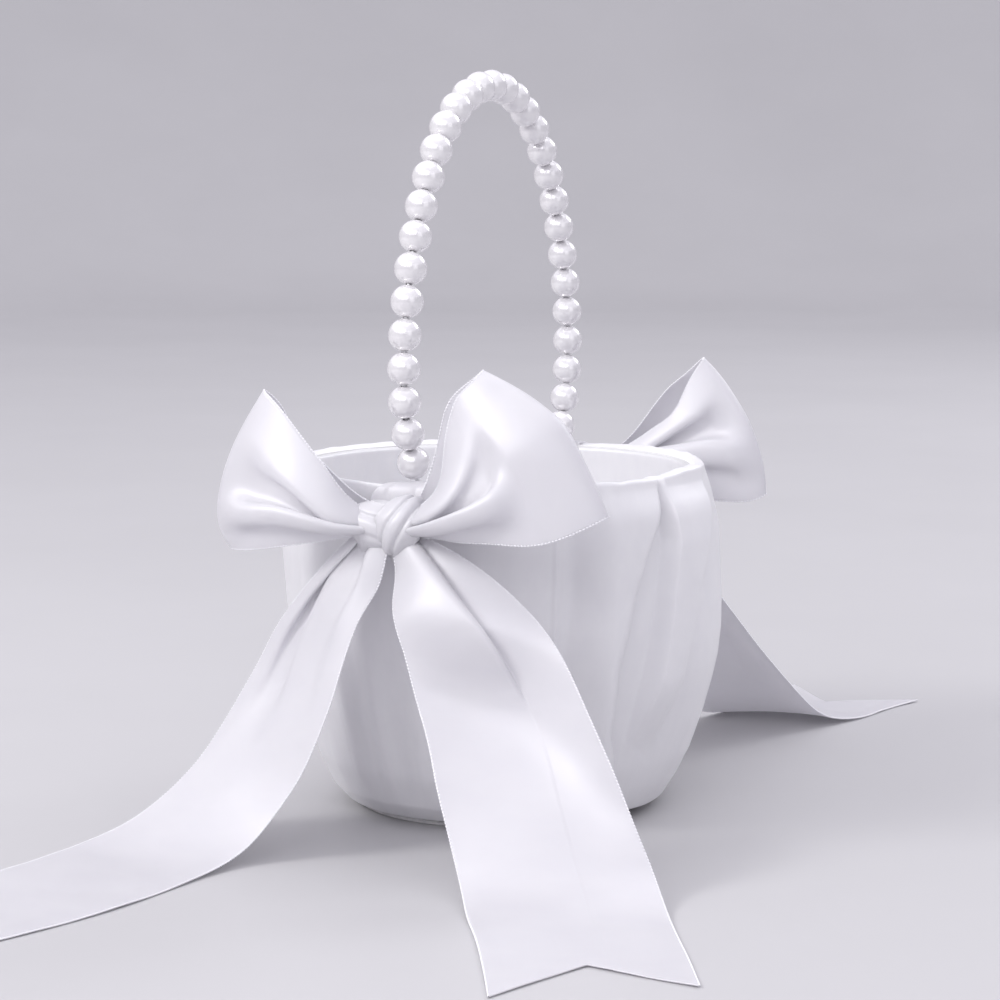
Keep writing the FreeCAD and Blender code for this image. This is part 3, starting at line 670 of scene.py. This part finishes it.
# Soft folds of the tighter side: plan angle at the foot and at the rim, height, breadth.
SOFT = [(-39, -37, 0.7, 4.5), (-6, 4, 0.7, 6.0), (-112, -118, 2.3, 4.2),
        (-102, -106, 1.7, 3.8), (-126, -131, 0.9, 4.5), (-88, -92, 1.1, 5.0),
        (-72, -74, 0.6, 4.0), (-150, -155, 0.7, 5.0), (140, 146, 1.1, 5.0),
        (160, 166, 0.9, 5.0), (182, 187, 0.9, 5.0), (-163, -167, 0.8, 5)]


def cover_wall(theta, z):
    """Radius and extra plan angle of the satin at plan angle theta (degrees), height z."""
    loose = smooth(theta, -50, -8) * (1 - smooth(theta, 70, 135))
    r = radius_at(WALL, z) * (1 - loose) + radius_at(BULGE, z) * loose
    lean = np.zeros_like(r)
    for left, soft, right, sharp, height, foot in PLEATS:
        a = theta - path_at(left, z)
        b = theta - path_at(right, z)
        turn = path_at(sharp, z)
        stand = height * smooth(z, foot - 12, foot + 16) * (1 - 0.45 * smooth(z, 98, 110))
        r = r + stand * smooth(a, -soft / 2, soft / 2) * (1 - smooth(b, -turn / 2, turn / 2))
        lean = lean + stand * 0.4 * (2.2 / turn) * np.exp(-((b + 0.7) / 1.3) ** 2)
    for low, high, height, breadth in SOFT:
        x = (theta - (low + (high - low) * z / 110) + 180) % 360 - 180
        r = r + height * smooth(z, 3, 20) * (1 - 0.55 * smooth(z, 60, 108)) \
            * np.exp(-(x / breadth) ** 2)
    seam = (theta - SEAM_ANGLE + 180) % 360 - 180
    r = r + 0.55 * np.exp(-((seam + 0.8) / 0.8) ** 2) - 0.9 * np.exp(-((seam - 3.6) / 3.2) ** 2)
    return r, lean


def make_cover():
    theta = np.linspace(-180, 180, 1440, endpoint=False)
    foot = [(34, 1.75), (38, 1.75), (42, 1.75), (45, 1.75)]
    heights = np.concatenate((np.linspace(1.75, 8, 10)[1:], np.linspace(8, 108.4, 92)[1:]))
    over = [(0.995, 109.4), (0.965, 110.1), (0.90, 110.5), (0.78, 110.5), (0.6, 110.1),
            (0.4, 109.6), (0.2, 109.1), (0.06, 108.5)]
    rows = []
    for r, z in foot:
        rows.append((np.full_like(theta, r), np.full_like(theta, z), np.zeros_like(theta)))
    for z in heights:
        r, lean = cover_wall(theta, np.full_like(theta, z))
        rows.append((r, np.full_like(theta, z), lean))
    corner = 2.2 * np.exp(-((theta + 9) / 9.0) ** 2) + 1.2 * np.exp(-((theta + 3) / 3.0) ** 2)
    outer, lean = cover_wall(theta, np.full_like(theta, 109.0))
    for share, z in over:
        rows.append((HEM_RADIUS + (outer - HEM_RADIUS) * share, z + corner * (1 - abs(share - 0.6)),
                     lean * share))
    for z in (107, 103, 99, 95.5):
        rows.append((np.full_like(theta, HEM_RADIUS), np.full_like(theta, z), np.zeros_like(theta)))
    r = np.array([a for a, b, c in rows])
    z = np.array([b for a, b, c in rows])
    turn = np.radians(theta[None, :] + np.array([c for a, b, c in rows]))
    points = np.stack((r * np.cos(turn), r * np.sin(turn), z), axis=-1)
    stretched = points * np.array((1, 1, 0.3))
    shiver = ripple(stretched, 9.0, 31) * 0.2 + ripple(stretched, 22.0, 33) * 0.5
    weight = smooth(z, 3, 15) * np.where(r < 64, 0.2, 1.0)
    outward = unit(points * np.array((1, 1, 0)))
    points = points + outward * (shiver * weight)[..., None]
    pressed = np.exp(-((np.abs(theta[None, :]) - 87) / 16) ** 4)
    points[..., 2] += (ripple(points, 7.0, 35) * 0.5 * (1 - pressed) - 0.75 * pressed) \
        * smooth(z, 106, 110)
    points[..., 2] = np.maximum(points[..., 2], 1.6)
    uvs = np.stack(np.broadcast_arrays((theta[None, :] + 180) / 360 * 7.8,
                                       np.arange(len(rows))[:, None] / len(rows) * 2.7), -1)
    piece = grid_object("satin_cover_cloth", points, uvs, COVER_SATIN, closed_v=True)
    thicken(piece, CLOTH, -1.0)
    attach(piece, "basket")
    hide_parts("satin_cover")


def make_lining():
    theta = np.linspace(-180, 180, 720, endpoint=False)
    heights = np.concatenate((np.linspace(108.8, 104, 6), np.linspace(104, 9, 60)[1:]))
    rows = [(radius_at(WALL, 108) - 3.9, 108.2)]
    rows += [(radius_at(WALL, z) - 4.35, z) for z in heights]
    rows += [(46.0, 8.2), (43.5, 8.6), (41.0, 9.0)]
    rows += [(r, 9.1) for r in np.linspace(38, 0.4, 22)]
    r = np.array(rows)[:, :1] * np.ones((1, len(theta)))
    z = np.array(rows)[:, 1:] * np.ones((1, len(theta)))
    turn = np.radians(theta)[None, :]
    points = np.stack((r * np.cos(turn), r * np.sin(turn), z), axis=-1)
    wrinkles = ripple(points * np.array((1, 1, 0.35)), 8.0, 41) * 0.45
    inward = -unit(points * np.array((1, 1, 0)))
    wall = smooth(r, 40, 47) * (1 - smooth(z, 103, 108))
    points = points + inward * (np.maximum(wrinkles, -0.1) * wall)[..., None]
    points[..., 2] += (ripple(points, 12.0, 43) * 0.5 + 0.3) * (1 - smooth(r, 38, 44))
    uvs = np.stack(np.broadcast_arrays(theta[None, :] / 360 * 7.3,
                                       np.arange(len(rows))[:, None] / len(rows) * 2.8), -1)
    piece = grid_object("satin_lining_cloth", points, uvs, LINING_SATIN, closed_v=True)
    thicken(piece, CLOTH, 1.0)
    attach(piece, "basket")
    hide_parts("satin_lining")


make_cover()
make_lining()


# -------------------------------------------------------------------- pearls

def pearl_mesh():
    """Bead of 10 mm with the drilled hole's soft lips at both ends."""
    radius, bore = BEAD_RADIUS, BEAD_BORE
    start = math.asin((bore + 0.1) / radius)
    profile = [(bore, -4.3), (bore, -4.78), (bore + 0.03, -4.88)]
    for k in range(33):
        a = start + (math.pi - 2 * start) * k / 32
        profile.append((radius * math.sin(a), -radius * math.cos(a)))
    profile += [(bore + 0.03, 4.88), (bore, 4.78), (bore, 4.3)]
    profile = np.array(profile)
    turn = np.linspace(0, 2 * math.pi, 48, endpoint=False)
    points = np.stack((profile[:, :1] * np.cos(turn), profile[:, :1] * np.sin(turn),
                       profile[:, 1:] * np.ones_like(turn)), axis=-1)
    uvs = np.stack(np.broadcast_arrays(turn[None, :] / 6.283,
                                       np.linspace(0, 1, len(profile))[:, None]), -1)
    first = grid_object("pearl_shape", points, uvs, PEARL, closed_v=True)
    mesh = first.data
    bpy.data.objects.remove(first)
    return mesh


def make_pearls():
    mesh = pearl_mesh()
    names = ["pearl_%02d" % k for k in range(1, 32)]
    centres = [sum(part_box(n), Vector()) / 2 for n in names]
    for k, name in enumerate(names):
        ahead = centres[min(k + 1, 30)] - centres[max(k - 1, 0)]
        bead = bpy.data.objects.new(name + "_bead", mesh)
        bpy.context.scene.collection.objects.link(bead)
        bead.location = centres[k]
        bead.rotation_mode = "QUATERNION"
        bead.rotation_quaternion = ahead.to_track_quat("Z", "Y")
        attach(bead, "handle")
        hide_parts(name)


make_pearls()


# ------------------------------------------------- finishes of the CAD pieces

# The floor pad takes the lining satin, whose tones are set lighter as painted light for the dim
# inside of the basket.
FINISHES = {"handle_wire": STEEL, "end_cap_front": STEEL, "end_cap_back": STEEL,
            "eyelet_front": CHROME, "eyelet_back": CHROME, "base_disc": BOARD,
            "cup_shell": PLASTIC, "floor_pad": LINING_SATIN}
for name, finish in FINISHES.items():
    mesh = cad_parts[name].data
    mesh.materials.clear()
    mesh.materials.append(finish)


# -------------------------------------------------------------------- studio

def make_floor():
    turn = np.linspace(0, 2 * math.pi, 96, endpoint=False)
    rings = np.concatenate(([1.0], np.linspace(60, 6000, 60)))
    rise = 2600 * smooth(rings, 2800, 6000)[:, None] * np.ones_like(turn)
    points = np.stack((rings[:, None] * np.cos(turn), rings[:, None] * np.sin(turn), rise), -1)
    uvs = points[..., :2] / 1000
    floor = grid_object("floor", points, uvs, plain(
        "studio_floor", (0.52, 0.515, 0.525, 1), (0.50, 0.495, 0.505, 1), 0.5, (3, 3, 3), 0.0002),
        closed_v=True)


def area_light(name, spot, target, size, power, colour):
    data = bpy.data.lights.new(name, "AREA")
    data.shape = "RECTANGLE"
    data.size, data.size_y = size
    data.energy = power
    data.color = colour
    lamp = bpy.data.objects.new(name, data)
    bpy.context.scene.collection.objects.link(lamp)
    lamp.location = spot
    lamp.rotation_mode = "QUATERNION"
    lamp.rotation_quaternion = (Vector(target) - Vector(spot)).to_track_quat("-Z", "Y")


make_floor()
area_light("key", (-0.9, -1.1, 1.1), (0, 0, 0.08), (0.5, 0.5), 13, (1.0, 0.99, 0.98))
area_light("side", (1.6, -1.0, 0.6), (0, 0, 0.06), (1.0, 1.0), 2, (0.97, 0.97, 1.0))
area_light("back", (0.9, 1.7, 1.3), (0, 0, 0.06), (0.8, 0.8), 11, (0.97, 0.97, 1.0))
area_light("top", (0.0, 0.3, 3.5), (0, 0, 0.1), (3.0, 3.0), 22, (1.0, 0.99, 1.0))
area_light("front", (0.1, -2.3, 1.4), (0, 0, 0.08), (2.4, 1.2), 14, (0.99, 0.985, 1.0))

scene = bpy.context.scene
world = bpy.data.worlds.new("studio")
world.use_nodes = True
background = world.node_tree.nodes["Background"]
background.inputs["Color"].default_value = (0.83, 0.815, 0.89, 1)
background.inputs["Strength"].default_value = 1.08
scene.world = world
scene.view_settings.view_transform = "Standard"
scene.view_settings.look = "None"

camera_data = bpy.data.cameras.new("camera")
camera_data.lens = 96.16
camera_data.sensor_width = 36
camera_data.clip_start, camera_data.clip_end = 0.05, 30
camera = bpy.data.objects.new("camera", camera_data)
camera.location = (0.3267, -0.7931, 0.2075)
camera.rotation_euler = (math.radians(82.696), 0, math.radians(22.21))
scene.collection.objects.link(camera)
scene.camera = camera
